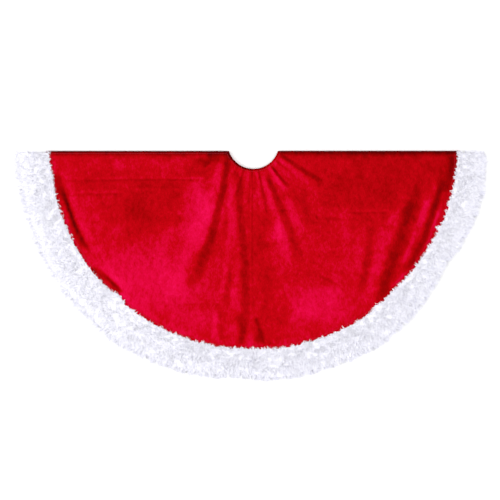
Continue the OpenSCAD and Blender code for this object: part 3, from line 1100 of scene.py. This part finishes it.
def row_points(kind):
    """Places and directions of the stitches of one row."""
    if kind == "slit":
        low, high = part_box("front_slit_stitching")
        x = np.arange(low[0], high[0], PITCH)
        return x, np.full(len(x), (low[1] + high[1]) / 2), np.zeros(len(x))
    if kind == "neck":
        radius, centre = NECK_R - 0.4 * MM, HOLE_C
    else:
        radius, centre = arc_of("front_trim_stitching")
        radius = radius - 0.4 * MM
    end = math.asin((centre + 5 * MM) / radius)
    count = int(radius * (math.pi - 2 * end) / PITCH)
    angle = np.linspace(math.pi + end, 2 * math.pi - end, count)
    return radius * np.cos(angle), centre + radius * np.sin(angle), angle + math.pi / 2


def make_stitching(half, kind):
    x, y, direction = row_points(kind)
    cover, lining = (upper_cover, upper_lining) if half == "front" else (lower_cover, lower_lining)
    sign = 1 if half == "front" else -1
    line = edge_roll(-y, EDGE_ROLL) * edge_roll(hole_distance(x, y), 0.6 * EDGE_ROLL)
    outer = SLIT_HEIGHT + (cover(x, y) - SLIT_HEIGHT) * line
    z = np.concatenate([FOLD_Z + sign * (outer + 0.05 * MM), FOLD_Z + sign * (lining(x, y) - 0.2 * MM)])
    x, y, direction = (np.tile(c, 2) for c in (x, y, direction))
    row = stitches(f"{half}_{kind}_stitches", x, y, z, direction, *STITCH)
    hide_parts(f"{half}_{kind}_stitching")
    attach(row, f"{half}_half")
    return row


def make_tab_stitching(group, half):
    """Box seams through the three tabs of one half."""
    rows = []
    for node in HOOK_TABS if group == "hook" else LOOP_TABS:
        low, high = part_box(node)
        x0, x1, y0, y1 = low[0] + 2.4 * MM, high[0] - 2.4 * MM, low[1] + 2.4 * MM, high[1] - 2.4 * MM
        for px, py, qx, qy in ((x0, y0, x1, y0), (x1, y0, x1, y1), (x1, y1, x0, y1), (x0, y1, x0, y0)):
            count = max(2, int(math.hypot(qx - px, qy - py) / (3.2 * MM)))
            for k in range(count):
                f = (k + 0.5) / count
                rows.append((px + (qx - px) * f, py + (qy - py) * f, math.atan2(qy - py, qx - px)))
    x, y, direction = (np.array(c) for c in zip(*rows))
    sunk = FOLD_Z + 0.62 * MM if group == "hook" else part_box("loop_tab_neck")[0][2] + 0.10 * MM
    z = np.full(len(x), sunk)
    row = stitches(f"{group}_tab_stitches", x, y, z, direction, 2.6 * MM, 0.7 * MM, 0.5 * MM)
    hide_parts(f"{group}_tab_stitching")
    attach(row, f"{half}_half")
    return row


# ---------------------------------------------------------------------------------------------
# Hook-and-loop tabs, and the label


def rounded_slab(name, low, high, corner, step):
    """A thin tape with rounded corners and softened edges."""
    nx = max(6, int((high[0] - low[0]) / step))
    ny = max(4, int((high[1] - low[1]) / step))
    u, v = np.linspace(-1, 1, nx), np.linspace(-1, 1, ny)
    gu, gv = np.meshgrid(u, v, indexing="ij")
    hx, hy = (high[0] - low[0]) / 2, (high[1] - low[1]) / 2
    px, py = gu * hx, gv * hy
    over_x, over_y = np.abs(px) - (hx - corner), np.abs(py) - (hy - corner)
    in_corner = (over_x > 0) & (over_y > 0)
    reach = np.maximum(np.hypot(over_x, over_y), 1e-9)
    square = np.maximum(over_x, over_y)
    k = np.where(in_corner, square / reach, 1.0)
    px = np.where(in_corner, np.sign(px) * (hx - corner + over_x * k), px)
    py = np.where(in_corner, np.sign(py) * (hy - corner + over_y * k), py)
    cx, cy = (low[0] + high[0]) / 2, (low[1] + high[1]) / 2
    lip = np.minimum(1, (1 - np.maximum(np.abs(gu) ** 8, np.abs(gv) ** 5)) + 0.35)
    half = (high[2] - low[2]) / 2 * lip
    mid = (high[2] + low[2]) / 2
    top = np.stack([cx + px, cy + py, mid + half], axis=-1).reshape(-1, 3)
    bottom = np.stack([cx + px, cy + py, mid - half], axis=-1).reshape(-1, 3)
    faces = grid_faces(nx, ny)
    n = nx * ny
    index = np.arange(n).reshape(nx, ny)
    ring = np.concatenate([index[:, 0], index[-1, 1:], index[-2::-1, -1], index[0, -2:0:-1]])
    after = np.roll(ring, -1)
    rim = np.stack([ring, after, after + n, ring + n], axis=-1)
    points = np.concatenate([top, bottom])
    obj = make_mesh(name, points, np.concatenate([faces, faces[:, ::-1] + n, rim]), points[:, :2])
    return obj


def make_tab(node, kind, body, bottom, pile, quads):
    """A tape, and the hooks or loops on it: pile holds each one's points, and quads one's faces."""
    low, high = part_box(node)
    tape = rounded_slab(node + "_tape", (low[0], low[1], bottom), high, 2 * MM, 1 * MM)
    points = pile.reshape(-1, 3)
    hairs = make_mesh(f"{node}_{kind}s", points, copies(quads, len(pile), pile.shape[1]), points[:, :2])
    for piece, material in ((tape, TAPE), (hairs, NYLON)):
        piece.data.materials.append(material)
        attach(piece, body)
    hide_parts(node)


def make_hook_tab(node):
    low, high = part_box(node)
    pitch_x, pitch_y = 1.6 * MM, 1.5 * MM
    xs = np.arange(low[0] + 1.6 * MM, high[0] - 1.4 * MM, pitch_x)
    ys = np.arange(low[1] + 1.4 * MM, high[1] - 1.2 * MM, pitch_y)
    gx, gy = (g.ravel() for g in np.meshgrid(xs, ys, indexing="ij"))
    lean = np.where((np.round((gy - ys[0]) / pitch_y).astype(int) % 2) == 0, 1.0, -1.0)
    # a hook's side view: up, over and back down, as (along x, distance below the tape)
    shape = np.array([(0, 0), (0.05, 0.30), (0.22, 0.52), (0.45, 0.52), (0.58, 0.36)]) * MM
    side = np.stack(np.broadcast_arrays(
        gx[:, None] + lean[:, None] * shape[:, 0], gy[:, None], FOLD_Z + 0.78 * MM - shape[:, 1]), axis=-1)
    thick = 0.09 * MM
    corners = [(-thick, -thick), (thick, -thick), (thick, thick), (-thick, thick)]
    tube = np.stack([side + np.array([cx, cy, 0]) for cx, cy in corners], axis=2).reshape(len(gx), -1, 3)
    quads = [(i * 4 + j, i * 4 + (j + 1) % 4, (i + 1) * 4 + (j + 1) % 4, (i + 1) * 4 + j)
             for i in range(len(shape) - 1) for j in range(4)] + [(16, 17, 18, 19), (3, 2, 1, 0)]
    make_tab(node, "hook", "front_half", FOLD_Z + 0.75 * MM, tube, quads)


def make_loop_tab(node, count=900):
    """The brushed loops are small arches all over the tape's face."""
    low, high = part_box(node)
    rng = np.random.default_rng(len(node))
    gx = rng.uniform(low[0] + 1.5 * MM, high[0] - 1.5 * MM, count)
    gy = rng.uniform(low[1] + 1.5 * MM, high[1] - 1.5 * MM, count)
    turn = rng.uniform(0, math.pi, count)
    bend = np.linspace(0, math.pi, 6)
    reach, tall, thick = 0.75 * MM, 0.42 * MM, 0.08 * MM
    ax = -np.cos(bend)[None] * reach
    az = np.sin(bend)[None] * tall
    c, s = np.cos(turn)[:, None], np.sin(turn)[:, None]
    centre = np.stack([gx[:, None] + c * ax, gy[:, None] + s * ax, low[2] + 0.4 * MM - az + 0 * c], axis=-1)
    off = np.stack([-s, c, 0 * c], axis=-1) * thick
    ribbon = np.stack([centre - off, centre + off], axis=2).reshape(count, -1, 3)
    quads = [(2 * k, 2 * k + 1, 2 * k + 3, 2 * k + 2) for k in range(len(bend) - 1)]
    make_tab(node, "loop", "back_half", low[2] + 0.3 * MM, ribbon, quads)


def make_label():
    low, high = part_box("care_label")
    label = rounded_slab("blank_label", (low[0], low[1], FOLD_Z - 0.45 * MM),
                         (high[0], high[1], FOLD_Z - 0.22 * MM), 1 * MM, 1.5 * MM)
    co = np.array([v.co for v in label.data.vertices])
    along_x = (co[:, 0] - low[0]) / (high[0] - low[0])
    co[:, 2] += 0.10 * MM * np.sin(along_x * 9 + co[:, 1] * 160)
    label.data.vertices.foreach_set("co", co.ravel())
    label.data.materials.append(RIBBON)
    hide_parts("care_label")
    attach(label, "back_half")


# ---------------------------------------------------------------------------------------------
# Build everything

cover = make_cover()
lining = make_lining()
bands, furs = {}, {}
FUR = {"front": (4.6 * MM, 6, 1.1 * MM), "back": (5.6 * MM, 6, 1.3 * MM)}  # spacing, strands, width
for number, (half, side) in enumerate(
        [("front", "left"), ("front", "right"), ("back", "left"), ("back", "right")]):
    bands[half, side] = make_band(half, side)
    furs[half, side] = make_fur(half, side, 300 + number, *FUR[half])
for half in ("front", "back"):
    for kind in ("trim", "neck", "slit"):
        make_stitching(half, kind)
make_tab_stitching("hook", "front")
make_tab_stitching("loop", "back")
for node in HOOK_TABS:
    make_hook_tab(node)
for node in LOOP_TABS:
    make_loop_tab(node)
make_label()
